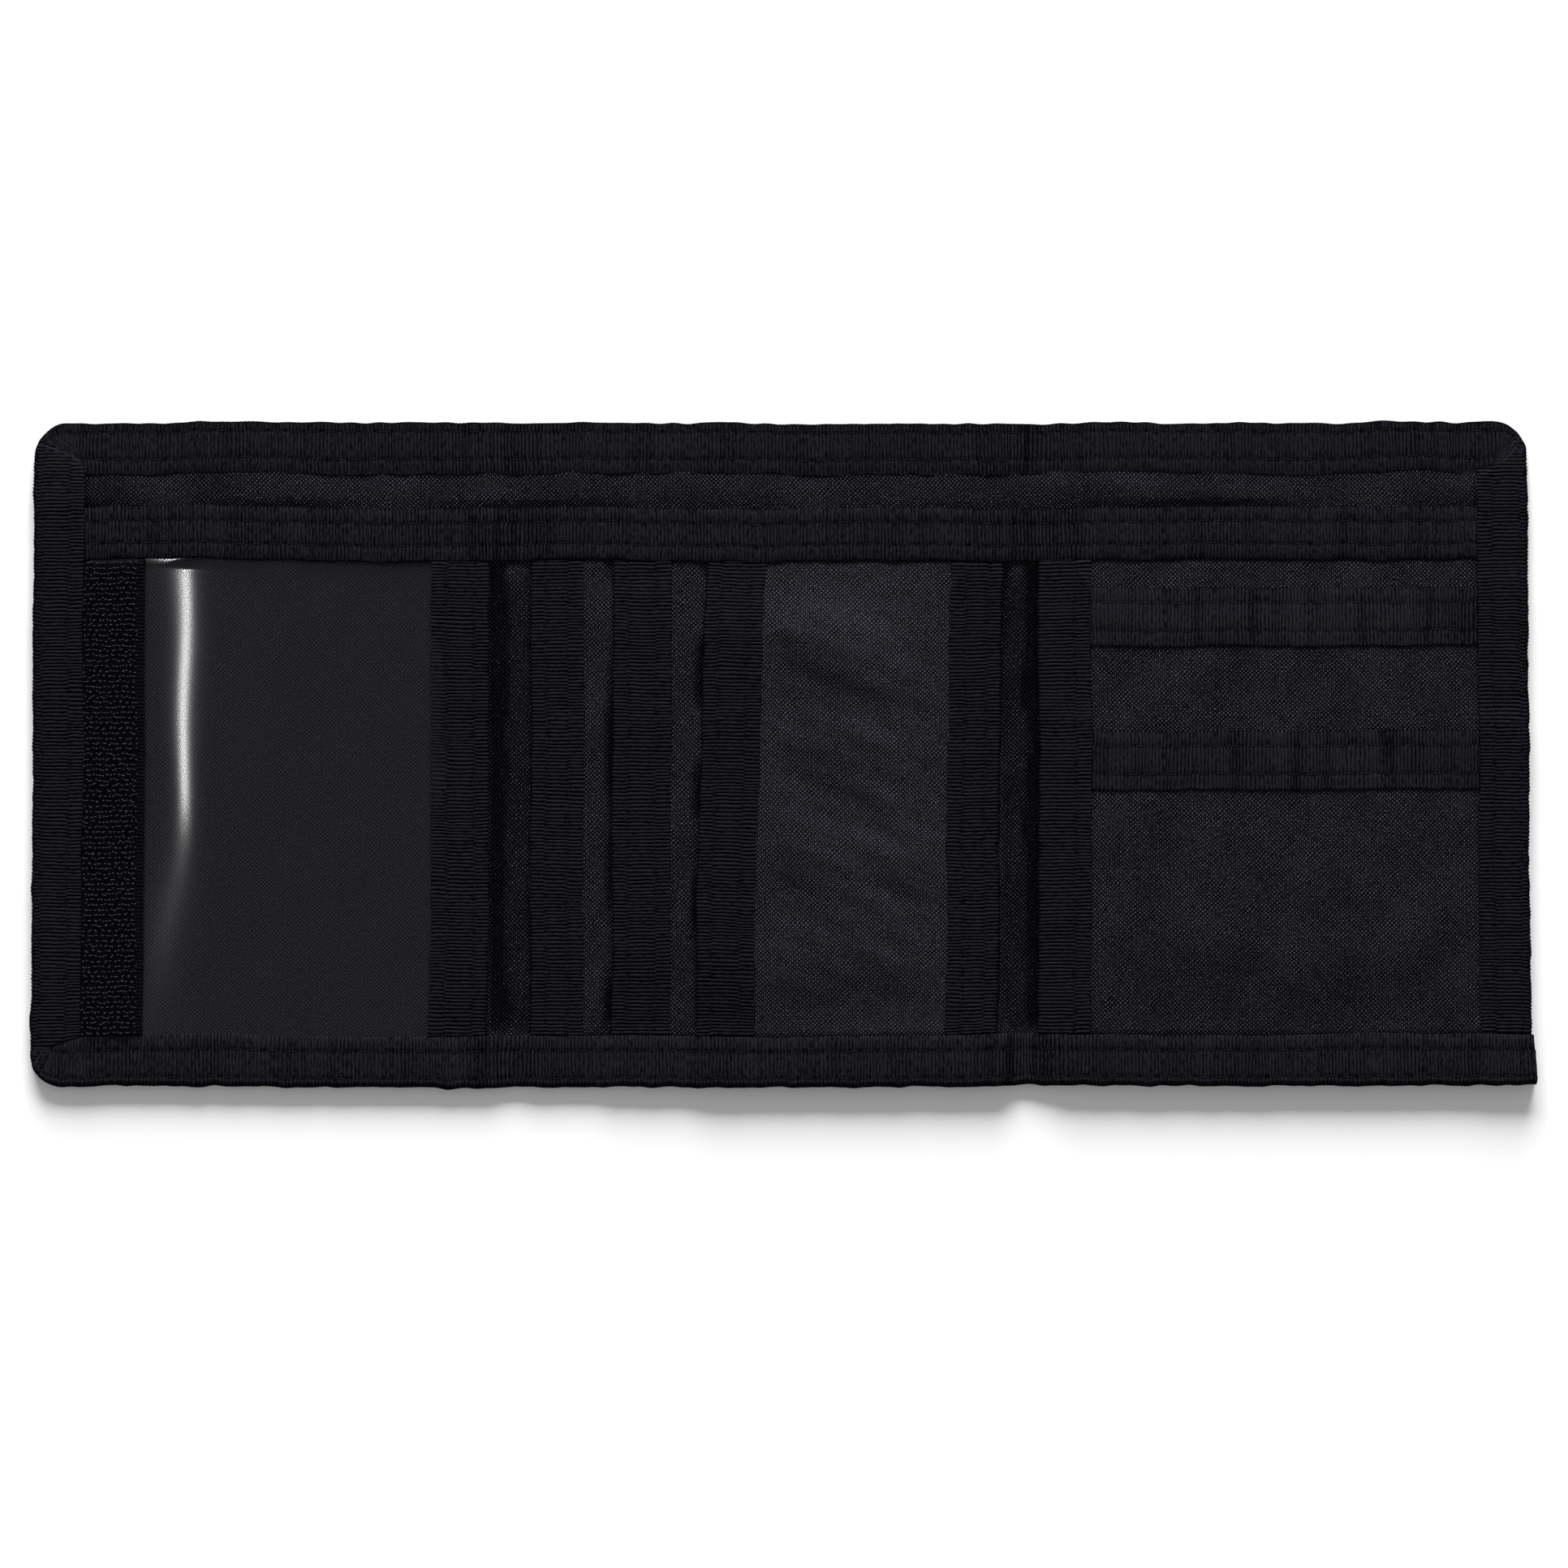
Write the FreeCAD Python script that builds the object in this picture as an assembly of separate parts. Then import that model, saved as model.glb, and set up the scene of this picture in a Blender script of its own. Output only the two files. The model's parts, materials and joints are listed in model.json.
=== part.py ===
import FreeCAD, Part
import os

# Trifold wallet in woven nylon, lying open with its inside up. Millimetres.
# +X runs along the open wallet towards the flap that folds in first, +Y towards the mouth of the
# note compartment, +Z up. The origin is under the middle of the open wallet, on its underside.
#
# From the underside up: outer shell, shell lining, note compartment, divider, then what is sewn on
# the divider. The wallet folds at two places. Each fold is a narrow spine between two creases, and
# the slits at the creases only part the rigid bodies: each cloth runs on through them.

os.makedirs("parts", exist_ok=True)

# Open wallet
HALF_LENGTH = 141.5
HALF_HEIGHT = 63.0
CORNER_RADIUS = 5.0
CUT_END_RADIUS = 1.0      # the edge tape's cut end, lapped over the lower right corner

# Cloth, tape and film thicknesses
SHELL = 0.35
LINING = 0.15
DIVIDER = 0.15
POCKET_CLOTH = 0.15
EDGE_TAPE = 0.3
POCKET_TAPE = 0.25
FILM = 0.25
HOOK_TAPE = 1.0
THREAD = 0.1
THREAD_WIDTH = 0.3

# Clear heights inside the note compartment, and in each pocket for one 0.76 mm card
NOTE_GAP = 0.2
CARD_GAP = 0.8
PLAY = 0.05               # between a layer's edge and the tape folded round it

# Tape widths, as they show on the inside
EDGE_TAPE_WIDTH = 9.7
NARROW_TAPE = 10.0
WIDE_TAPE = 11.1

# Stitch rows, from the tape's outer edge and from its inner edge
EDGE_ROW_OUT = 1.8
EDGE_ROW_IN = 2.8
TAPE_ROW = 2.9

# Folds: a spine's width follows from the height of its creases' axes and from what it folds round
LEFT_FOLD_X = -52.55      # middle of the left spine
RIGHT_FOLD_X = 45.6
LEFT_AXIS_Z = 3.9
RIGHT_AXIS_Z = 2.7
FLAP_GAP = 0.3            # between the inner faces of the middle and the folded right flap
HOOK_GAP = 0.2            # between the hooks and the loop tape when both flaps are folded
CREASE_SLIT = 0.3

# Along Y
DIVIDER_TOP = 46.9
SLOT_1_TOP = 31.5
SLOT_2_TOP = 4.3

# Along X
HOOK_TAPE_WIDTH = 11.3
LOOP_TAPE_WIDTH = 16.0
WINDOW_EDGE_X = -55.3
CARD_POCKET_X = [-47.7, -32.0, -14.6]
CARD_POCKET_TAPE = [NARROW_TAPE, WIDE_TAPE, WIDE_TAPE]
POCKET_END_X = 41.7
SLIP_POCKET_X = 48.1

# Levels above the underside
shell_z = (EDGE_TAPE, EDGE_TAPE + SHELL)
lining_z = (shell_z[1], shell_z[1] + LINING)
divider_tape_z = lining_z[1] + NOTE_GAP
divider_z = (divider_tape_z + POCKET_TAPE, divider_tape_z + POCKET_TAPE + DIVIDER)
POCKET_PITCH = CARD_GAP + POCKET_TAPE + POCKET_CLOTH


def pocket_level(number):
    """Lower and upper level of the cloth of the pocket or slot with this number, from 1."""
    upper = divider_z[1] + number * POCKET_PITCH
    return (upper - POCKET_CLOTH, upper)


window_z = (pocket_level(1)[0], pocket_level(1)[0] + FILM)
hook_z = (window_z[1], window_z[1] + HOOK_TAPE)

# Top of what each body's edge tape is folded round, pocket tapes included
SPINE_STACK = divider_z[1]
stack_z = {
    "left_flap": window_z[1] + POCKET_TAPE,
    "left_spine": SPINE_STACK,
    "middle": pocket_level(3)[1] + POCKET_TAPE,
    "right_spine": SPINE_STACK,
    "right_flap": pocket_level(3)[1] + POCKET_TAPE,
}
middle_top = stack_z["middle"] + EDGE_TAPE
right_top = stack_z["right_flap"] + EDGE_TAPE

right_spine_width = middle_top + FLAP_GAP + right_top - 2 * RIGHT_AXIS_Z
folded_height = middle_top + FLAP_GAP + right_top + HOOK_GAP + hook_z[1]
left_spine_width = folded_height - 2 * LEFT_AXIS_Z

crease_x = [
    -HALF_LENGTH,
    LEFT_FOLD_X - left_spine_width / 2,
    LEFT_FOLD_X + left_spine_width / 2,
    RIGHT_FOLD_X - right_spine_width / 2,
    RIGHT_FOLD_X + right_spine_width / 2,
    HALF_LENGTH,
]
BODIES = ["left_flap", "left_spine", "middle", "right_spine", "right_flap"]
span_x = {}
for index, body in enumerate(BODIES):
    low = crease_x[index] + (CREASE_SLIT / 2 if index > 0 else 0)
    high = crease_x[index + 1] - (CREASE_SLIT / 2 if index < len(BODIES) - 1 else 0)
    span_x[body] = (low, high)

# Inner edges of the tape that runs round the outline
inner_left = -HALF_LENGTH + EDGE_TAPE_WIDTH
inner_right = HALF_LENGTH - EDGE_TAPE_WIDTH
inner_bottom = -HALF_HEIGHT + EDGE_TAPE_WIDTH
inner_top = HALF_HEIGHT - EDGE_TAPE_WIDTH

# Pockets end inside the lower edge tape and inside the divider's tape
LAYER_INSET = EDGE_TAPE + PLAY
pocket_y = (-HALF_HEIGHT + LAYER_INSET, DIVIDER_TOP - POCKET_TAPE - PLAY)
divider_tape_bottom = DIVIDER_TOP - NARROW_TAPE

made = {}


def keep(name, shape):
    """Store a node's shape under its name, and stop if it is not sound."""
    if not shape.isValid() or shape.Volume <= 0:
        raise ValueError("unsound shape: " + name)
    made[name] = shape


def slab(x, y, z, corners=()):
    """A flat sheet between pairs of limits, with chosen upright edges rounded."""
    size = (x[1] - x[0], y[1] - y[0], z[1] - z[0])
    sheet = Part.makeBox(*size, FreeCAD.Vector(x[0], y[0], z[0]))
    for corner_x, corner_y, radius in corners:
        for edge in sheet.Edges:
            near = [abs(v.X - corner_x) + abs(v.Y - corner_y) < 0.001 for v in edge.Vertexes]
            if all(near):
                sheet = sheet.makeFillet(radius, [edge])
                break
    return sheet


def folded_tape(x, y, z, tape, walls, corners=()):
    """Tape folded round the edge of a stack: two flanges joined by a wall on each named side."""
    beyond = 1.0
    inside_x = (x[0] + tape if "left" in walls else x[0] - beyond,
                x[1] - tape if "right" in walls else x[1] + beyond)
    inside_y = (y[0] + tape if "bottom" in walls else y[0] - beyond,
                y[1] - tape if "top" in walls else y[1] + beyond)
    inner_corners = []
    for corner_x, corner_y, radius in corners:
        near_x = inside_x[0] if corner_x < (x[0] + x[1]) / 2 else inside_x[1]
        near_y = inside_y[0] if corner_y < (y[0] + y[1]) / 2 else inside_y[1]
        inner_corners.append((near_x, near_y, radius - tape))
    outside = slab(x, y, z, corners)
    return outside.cut(slab(inside_x, inside_y, (z[0] + tape, z[1] - tape), inner_corners))


def outline_corners(body, rows, inset=0.0):
    """The rounded outline corners of a flap, on the named rows, moved in by inset."""
    if body not in ("left_flap", "right_flap"):
        return []
    side = -1 if body == "left_flap" else 1
    corners = []
    for row in rows:
        radius = CORNER_RADIUS
        if body == "right_flap" and row == "bottom":
            radius = CUT_END_RADIUS
        corner_y = HALF_HEIGHT if row == "top" else -HALF_HEIGHT
        step = -inset if row == "top" else inset
        corners.append((side * (HALF_LENGTH - inset), corner_y + step, radius - min(inset, radius / 2)))
    return corners


def end_wall(body):
    """The side on which a flap's upper and lower edge tapes turn the corner."""
    return {"left_flap": ["left"], "right_flap": ["right"]}.get(body, [])


def layer_x(body):
    """X limits of the cloth layers of a body, inside the tape at the ends of the wallet."""
    low, high = span_x[body]
    if body == "left_flap":
        low += LAYER_INSET
    if body == "right_flap":
        high -= LAYER_INSET
    return (low, high)


def stitch_rows(limits, rows, top, along):
    """Lines of thread on a tape: along X at each Y of rows, or along Y at each X of rows."""
    lines = []
    level = (top, top + THREAD)
    for row in rows:
        across = (row - THREAD_WIDTH / 2, row + THREAD_WIDTH / 2)
        if along == "x":
            lines.append(slab(limits, across, level))
        else:
            lines.append(slab(across, limits, level))
    return lines


threads = {body: [] for body in BODIES}
upright_run = (inner_bottom + PLAY, divider_tape_bottom - PLAY)


def common_layers(body):
    """What every body has: shell, lining, divider and the tapes along X."""
    x = layer_x(body)
    y = (-HALF_HEIGHT + LAYER_INSET, HALF_HEIGHT - LAYER_INSET)
    corners = outline_corners(body, ["top", "bottom"], LAYER_INSET)
    keep("outer_shell_" + body, slab(x, y, shell_z, corners))
    keep("shell_lining_" + body, slab(x, y, lining_z, corners))

    lower_corners = outline_corners(body, ["bottom"], LAYER_INSET)
    divider_y = (y[0], DIVIDER_TOP - POCKET_TAPE - PLAY)
    keep("cash_divider_" + body, slab(x, divider_y, divider_z, lower_corners))

    top_z = lining_z[1] + EDGE_TAPE
    keep("top_edge_binding_" + body,
         folded_tape(span_x[body], (inner_top, HALF_HEIGHT), (0, top_z), EDGE_TAPE,
                     ["top"] + end_wall(body), outline_corners(body, ["top"])))
    bottom_z = stack_z[body] + EDGE_TAPE
    keep("bottom_edge_binding_" + body,
         folded_tape(span_x[body], (-HALF_HEIGHT, inner_bottom), (0, bottom_z), EDGE_TAPE,
                     ["bottom"] + end_wall(body), outline_corners(body, ["bottom"])))

    tape_x = (max(span_x[body][0], inner_left + PLAY), min(span_x[body][1], inner_right - PLAY))
    tape_top = stack_z[body] + POCKET_TAPE
    keep("cash_divider_binding_" + body,
         folded_tape(tape_x, (divider_tape_bottom, DIVIDER_TOP), (divider_tape_z, tape_top),
                     POCKET_TAPE, ["top"]))

    row_ends = (span_x[body][0] + (CORNER_RADIUS if body == "left_flap" else 0),
                span_x[body][1] - (CORNER_RADIUS if body == "right_flap" else 0))
    threads[body] += stitch_rows(row_ends, [HALF_HEIGHT - EDGE_ROW_OUT, inner_top + EDGE_ROW_IN],
                                 top_z, "x")
    threads[body] += stitch_rows(row_ends, [-HALF_HEIGHT + EDGE_ROW_OUT, inner_bottom - EDGE_ROW_IN],
                                 bottom_z, "x")
    threads[body] += stitch_rows(tape_x, [DIVIDER_TOP - TAPE_ROW, divider_tape_bottom + TAPE_ROW],
                                 tape_top, "x")


def side_binding(body, name, x, rows):
    """Edge tape along one end of the wallet, round every layer."""
    y = (inner_bottom + PLAY, inner_top - PLAY)
    top = stack_z[body] + EDGE_TAPE
    keep(name, folded_tape(x, y, (0, top), EDGE_TAPE, end_wall(body)))
    threads[body] += stitch_rows(y, rows, top, "y")


def left_flap():
    """Clear window for an identity card, its tape, and the hook strip beside it."""
    side_binding("left_flap", "left_edge_binding", (-HALF_LENGTH, inner_left),
                 [-HALF_LENGTH + EDGE_ROW_OUT, inner_left - EDGE_ROW_IN])
    film_x = (-HALF_LENGTH + LAYER_INSET, WINDOW_EDGE_X - POCKET_TAPE - PLAY)
    corners = outline_corners("left_flap", ["bottom"], LAYER_INSET)
    keep("id_window", slab(film_x, pocket_y, window_z, corners))
    tape_x = (WINDOW_EDGE_X - WIDE_TAPE, WINDOW_EDGE_X)
    tape_z = (window_z[0] - POCKET_TAPE, window_z[1] + POCKET_TAPE)
    keep("window_edge_binding", folded_tape(tape_x, pocket_y, tape_z, POCKET_TAPE, ["right"]))
    threads["left_flap"] += stitch_rows(upright_run, [tape_x[0] + TAPE_ROW, tape_x[1] - TAPE_ROW],
                                        tape_z[1], "y")
    hook_x = (inner_left + PLAY, inner_left + HOOK_TAPE_WIDTH)
    keep("hook_tape", slab(hook_x, upright_run, hook_z))
    return hook_x


def middle():
    """Three card pockets that open towards the left spine, and the tape on their closed ends."""
    for number in (1, 2, 3):
        left = CARD_POCKET_X[number - 1]
        level = pocket_level(number)
        cloth_x = (left + POCKET_TAPE + PLAY, POCKET_END_X - POCKET_TAPE - PLAY)
        keep("card_pocket_%d" % number, slab(cloth_x, pocket_y, level))
        tape_x = (left, left + CARD_POCKET_TAPE[number - 1])
        tape_z = (level[0] - POCKET_TAPE, level[1] + POCKET_TAPE)
        keep("card_pocket_binding_%d" % number,
             folded_tape(tape_x, pocket_y, tape_z, POCKET_TAPE, ["left"]))
        threads["middle"] += stitch_rows(upright_run, [tape_x[0] + TAPE_ROW, tape_x[1] - TAPE_ROW],
                                         tape_z[1], "y")
    end_x = (POCKET_END_X - NARROW_TAPE, POCKET_END_X)
    keep("pocket_end_binding",
         folded_tape(end_x, pocket_y, (divider_z[1], stack_z["middle"]), POCKET_TAPE, ["right"]))
    threads["middle"] += stitch_rows(upright_run, [end_x[0] + TAPE_ROW, end_x[1] - TAPE_ROW],
                                     stack_z["middle"], "y")


def right_flap(hook_x):
    """Slip pocket that opens towards the right spine, two card slots on it, and the loop strip."""
    side_binding("right_flap", "right_edge_binding", (inner_right, HALF_LENGTH),
                 [HALF_LENGTH - EDGE_ROW_OUT, inner_right + EDGE_ROW_IN])
    cloth_x = (SLIP_POCKET_X + POCKET_TAPE + PLAY, HALF_LENGTH - LAYER_INSET)
    corners = outline_corners("right_flap", ["bottom"], LAYER_INSET)
    keep("slip_pocket", slab(cloth_x, pocket_y, pocket_level(1), corners))
    tape_x = (SLIP_POCKET_X, SLIP_POCKET_X + NARROW_TAPE)
    tape_z = (pocket_level(1)[0] - POCKET_TAPE, stack_z["right_flap"])
    keep("slip_pocket_binding", folded_tape(tape_x, pocket_y, tape_z, POCKET_TAPE, ["left"]))
    threads["right_flap"] += stitch_rows(upright_run, [tape_x[1] - TAPE_ROW], tape_z[1], "y")

    for number, top in ((1, SLOT_1_TOP), (2, SLOT_2_TOP)):
        level = pocket_level(number + 1)
        slot_y = (pocket_y[0], top - POCKET_TAPE - PLAY)
        keep("card_slot_%d" % number, slab(cloth_x, slot_y, level, corners))
        slot_tape_x = (tape_x[1] + PLAY, cloth_x[1])
        slot_tape_y = (top - WIDE_TAPE, top)
        slot_tape_z = (level[0] - POCKET_TAPE, level[1] + POCKET_TAPE)
        keep("card_slot_binding_%d" % number,
             folded_tape(slot_tape_x, slot_tape_y, slot_tape_z, POCKET_TAPE, ["top"]))
        rows = [top - TAPE_ROW, slot_tape_y[0] + TAPE_ROW]
        shown_x = (slot_tape_x[0], inner_right - PLAY)
        threads["right_flap"] += stitch_rows(shown_x, rows, slot_tape_z[1], "x")

    # Under the folded hook strip: X on the folded flap is mirrored about the right fold
    mirrored = crease_x[2] + crease_x[1] - sum(hook_x) / 2
    loop_centre = 2 * RIGHT_FOLD_X - mirrored
    loop_x = (loop_centre - LOOP_TAPE_WIDTH / 2, loop_centre + LOOP_TAPE_WIDTH / 2)
    keep("loop_tape", slab(loop_x, upright_run, (0, EDGE_TAPE)))


for body in BODIES:
    common_layers(body)
hook_limits = left_flap()
middle()
right_flap(hook_limits)
for body in BODIES:
    keep("sewing_thread_" + body, Part.makeCompound(threads[body]))

for name, shape in made.items():
    shape.exportStep("parts/" + name + ".step")

folded_end = 2 * RIGHT_FOLD_X - HALF_LENGTH
spine_face = crease_x[2] - (LEFT_AXIS_Z - SPINE_STACK - EDGE_TAPE - THREAD)
print("nodes:", len(made))
print("creases:", [round(x, 3) for x in crease_x[1:-1]])
print("axis heights:", LEFT_AXIS_Z, RIGHT_AXIS_Z, " folded height:", round(folded_height, 3))
print("room between the folded right flap and the left spine:", round(folded_end - spine_face, 3))
print("open size:", 2 * HALF_LENGTH, 2 * HALF_HEIGHT, round(middle_top + THREAD, 3))
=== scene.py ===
"""Looks of a black nylon trifold wallet, open with its inside up.

Lengths are in mm up to add_mesh(). Materials use metres.
"""

import json
import math
from functools import partial

import bmesh
import bpy
import numpy as np
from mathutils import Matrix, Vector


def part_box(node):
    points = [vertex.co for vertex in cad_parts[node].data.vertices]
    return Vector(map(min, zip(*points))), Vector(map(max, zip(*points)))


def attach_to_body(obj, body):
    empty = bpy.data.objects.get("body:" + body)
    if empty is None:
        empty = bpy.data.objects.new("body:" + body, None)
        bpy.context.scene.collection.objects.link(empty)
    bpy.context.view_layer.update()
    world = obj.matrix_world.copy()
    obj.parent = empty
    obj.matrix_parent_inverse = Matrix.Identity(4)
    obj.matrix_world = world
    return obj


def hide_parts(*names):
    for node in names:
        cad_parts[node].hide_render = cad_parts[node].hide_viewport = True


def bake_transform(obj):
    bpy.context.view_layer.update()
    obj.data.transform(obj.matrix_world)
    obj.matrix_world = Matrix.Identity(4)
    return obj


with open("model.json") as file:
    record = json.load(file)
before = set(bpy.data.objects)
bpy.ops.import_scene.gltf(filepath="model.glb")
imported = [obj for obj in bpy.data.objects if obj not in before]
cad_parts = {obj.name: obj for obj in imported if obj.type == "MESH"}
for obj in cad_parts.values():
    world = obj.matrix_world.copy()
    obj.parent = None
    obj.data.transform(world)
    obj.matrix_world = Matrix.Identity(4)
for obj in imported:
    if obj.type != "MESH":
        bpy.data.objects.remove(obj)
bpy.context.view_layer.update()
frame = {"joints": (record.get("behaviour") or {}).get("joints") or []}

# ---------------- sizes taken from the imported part


X, Y, Z = 0, 1, 2


def mm_box(node):
    """x0, y0, z0, x1, y1, z1 of a CAD node, in mm."""
    low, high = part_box(node)
    return [1000 * value for value in (*low, *high)]


def span(node, axis):
    """Both ends of a CAD node along an axis, in mm."""
    box = mm_box(node)
    return box[axis], box[axis + 3]


def top_of(node):
    return span(node, Z)[1]


CREASE = {joint["name"]: 1000 * joint["pos_m"][0] for joint in frame["joints"]}
EDGE_LEFT, IN_LEFT = span("left_edge_binding", X)
IN_RIGHT, EDGE_RIGHT = span("right_edge_binding", X)
EDGE_BOTTOM, IN_BOTTOM = span("bottom_edge_binding_middle", Y)
IN_TOP, EDGE_TOP = span("top_edge_binding_middle", Y)
EDGE_WIDTH = IN_LEFT - EDGE_LEFT
DIVIDER_LOW, DIVIDER_TOP = span("cash_divider_binding_middle", Y)
DIVIDER_WIDTH = DIVIDER_TOP - DIVIDER_LOW
WINDOW_TAPE = span("window_edge_binding", X)
MOUTHS = [span(f"card_pocket_binding_{n}", X) for n in (1, 2, 3)]
END_TAPE = span("pocket_end_binding", X)
SLIP_TAPE = span("slip_pocket_binding", X)
SLOT_TAPES = [span(f"card_slot_binding_{n}", Y) for n in (1, 2)]
POCKET_LEVELS = [top_of(f"card_pocket_{n}") for n in (1, 2, 3)]
DIVIDER_Z = top_of("cash_divider_middle")
LINING_Z = top_of("shell_lining_middle")

SHELL_Z = 0.65  # top of the outer shell's cloth
CLOTH = 0.15  # thickness of a pocket's cloth
RIB = 0.69  # pitch of the tapes' ribs
STITCH = 3.4  # pitch of the stitches
SEAM = 2.9  # distance of a stitch row from the edge of a pocket's tape
CORNER = 6.5  # radius of the wallet's rounded corners
HEM = 1.2  # how far pockets reach under the tapes around them
POCKET_LOW, POCKET_TOP = IN_BOTTOM - HEM, DIVIDER_LOW + HEM
BACKING = 0.35  # a tape's own height above the cloth that it holds
TAPE_DEPTH = 0.95  # height of a pocket's folded tape
CLOTH_STEP = 0.8  # size of the quads of a pocket's cloth
LEANS = (-0.4, -0.8, -2.0)  # how far the lower end of each card pocket's tape leans to the left


def on_rib(x):
    """The gap between two ribs nearest to x, where a running tape can be cut unseen."""
    return round(x / RIB) * RIB


LEFT_CUT = on_rib((CREASE["left_fold"] + CREASE["left_fold_outer"]) / 2)
MIDDLE_CUT = on_rib((CREASE["left_fold"] + CREASE["right_fold"]) / 2)
RIGHT_CUT = on_rib((CREASE["right_fold"] + CREASE["right_fold_outer"]) / 2)
LEFT_HALF = (CREASE["left_fold"] - CREASE["left_fold_outer"]) / 2
RIGHT_HALF = (CREASE["right_fold_outer"] - CREASE["right_fold"]) / 2
# Each quarter of a cloth or tape that runs through both folds: start, end, body before its crease,
# body after it, crease, half of the bent zone.
QUARTERS = [
    (-1000.0, LEFT_CUT, "left_flap", "left_spine", CREASE["left_fold_outer"], LEFT_HALF),
    (LEFT_CUT, MIDDLE_CUT, "left_spine", "middle", CREASE["left_fold"], LEFT_HALF),
    (MIDDLE_CUT, RIGHT_CUT, "middle", "right_spine", CREASE["right_fold"], RIGHT_HALF),
    (RIGHT_CUT, 1000.0, "right_spine", "right_flap", CREASE["right_fold_outer"], RIGHT_HALF),
]

# ---------------- shape fields


def ramp(distance, width):
    """0 before 0, 1 after width, smooth between."""
    t = np.clip(distance / width, 0, 1)
    return t * t * (3 - 2 * t)


WAVES = 8  # waves that add up to one ripple


def ripple(x, y, length, seed, turn=None, spread=0.4):
    """A smooth random field of about -1 to 1 with waves near that length."""
    rng = np.random.default_rng(seed)
    total = 0.0
    for _ in range(WAVES):
        angle = rng.uniform(0, 2 * math.pi) if turn is None else rng.normal(turn, 0.35)
        wave = 2 * math.pi / (length * rng.uniform(1 - spread, 1 + spread))
        phase = rng.uniform(0, 2 * math.pi)
        total = total + np.sin(wave * (x * math.cos(angle) + y * math.sin(angle)) + phase)
    return total / (0.4 * WAVES)


def bump(x, centre, width):
    """1 at the centre, falling to nothing about two widths away."""
    return np.exp(-(((x - centre) / width) ** 2))


FIRST_LAYER, NEXT_LAYER = 1.45, 1.2  # loose height of the lowest pocket and of each one above it
WINDOW_LAYER = 1.55  # loose height of the window pocket
LEAST_STACK = 0.9


def stack_above(x, y):
    """How far the loose stack rises above the divider cloth."""
    window = WINDOW_LAYER * ramp(WINDOW_TAPE[1] + 2.6 - x, 2.4)
    first, second, third = (ramp(x - mouth[0] + 2.6, 2.4) for mouth in MOUTHS)
    cards = FIRST_LAYER * first + NEXT_LAYER * second + NEXT_LAYER * third
    cards = cards * ramp(END_TAPE[1] + 2.8 - x, 2.6)
    slots = sum(NEXT_LAYER * ramp(slot[1] + 6 - y, 5.5) for slot in SLOT_TAPES)
    slip = FIRST_LAYER * ramp(x - SLIP_TAPE[0] + 2.6, 2.4) + slots * ramp(x - SLIP_TAPE[0] - 0.5, 6)
    return np.maximum(window + cards + slip, LEAST_STACK)


LEFT_SHARE, RIGHT_SHARE = 0.55, 0.47  # how much of the loose height is left where the stack is sewn


def seam_share(x):
    """How far the stack is pressed flat where it's sewn. It changes just right of the left fold."""
    return LEFT_SHARE + (RIGHT_SHARE - LEFT_SHARE) * ramp(x + 52, 4)


def puff(x, y):
    """0 at the seams, 1 where pockets are loose."""
    tall = ramp(y - IN_BOTTOM, 17) * ramp(DIVIDER_LOW - y, 15)
    middle = ramp(END_TAPE[0] + 2 - x, 12) * (0.45 + 0.55 * ramp(x - MOUTHS[0][0], 12))
    right = ramp(IN_RIGHT - x, 15) * ramp(x - SLIP_TAPE[1] + 1, 13)
    return tall * np.where(x < LEFT_CUT, 0.0, np.where(x > RIGHT_CUT, right, middle))


def creasing(x, y):
    """The soft cloth's own folds."""
    long_folds = 0.46 * ripple(x, y, 25, 11, turn=1.1) + 0.20 * ripple(x, y, 12, 12, turn=0.9, spread=0.6)
    flat = 0.25 * ramp(x - RIGHT_CUT, 1) + ramp(x - MOUTHS[2][1] + 1, 6) * ramp(RIGHT_CUT - x, 1)
    return puff(x, y) * long_folds * flat + 0.035 * ripple(x, y, 5.5, 13)


LOOSE_SHARE = 0.86  # how much of the loose height is left where the pockets are loose
FULL_STACK = 3.6  # the height at which the cloth's folds reach their full size


def layer(x, y, level):
    """Height of a layer whose height in the loose stack is level."""
    above = max(level - DIVIDER_Z, 0)
    share = seam_share(x) + (LOOSE_SHARE - seam_share(x)) * puff(x, y)
    base = min(level, DIVIDER_Z) + spine_dip(x, y) * min(level, DIVIDER_Z) / DIVIDER_Z
    return base + above * share + creasing(x, y) * above / FULL_STACK


def lean(y, amount):
    """Shift in x of a tape whose lower end isn't sewn straight below its upper end."""
    t = np.clip((DIVIDER_LOW - y) / (DIVIDER_LOW - IN_BOTTOM), 0, 1)
    return amount * t**1.5 + 0.3 * amount * np.sin(math.pi * t)


def between_seams(y):
    """1 between the divider and the lower edge's tape, 0 under them."""
    return ramp(DIVIDER_LOW - y + 1, 6) * ramp(y - IN_BOTTOM + 1, 6)


def spine_wander(y, seed):
    """How far a valley or ridge along a fold wanders from a straight line."""
    return 0.65 * ripple(0 * y, y, 34, seed) + 0.3 * ripple(0 * y, y, 13, seed + 1)


LEFT_VALLEY, RIGHT_VALLEY = 21, 25  # seeds of the valleys' wandering


def spine_dip(x, y):
    """The cloth at a fold sinks beside the thicker tape and rises in a soft ridge."""
    start = WINDOW_TAPE[1] + spine_wander(y, LEFT_VALLEY)
    left = -0.42 * bump(x, start + 1.2, 1.5) + 0.75 * bump(x, start + 5.1, 1.7)
    start = SLIP_TAPE[0] + spine_wander(y, RIGHT_VALLEY)
    right = -0.45 * bump(x, start - 1.0, 1.3) + 0.85 * bump(x, start - 3.9, 1.5)
    return (left + right) * between_seams(y)


# painted shade over the spines' cloth, and the most that painted shade may take off
SPINE_DARKNESS = 0.36
DARKEST_VALLEY = 0.70


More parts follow.
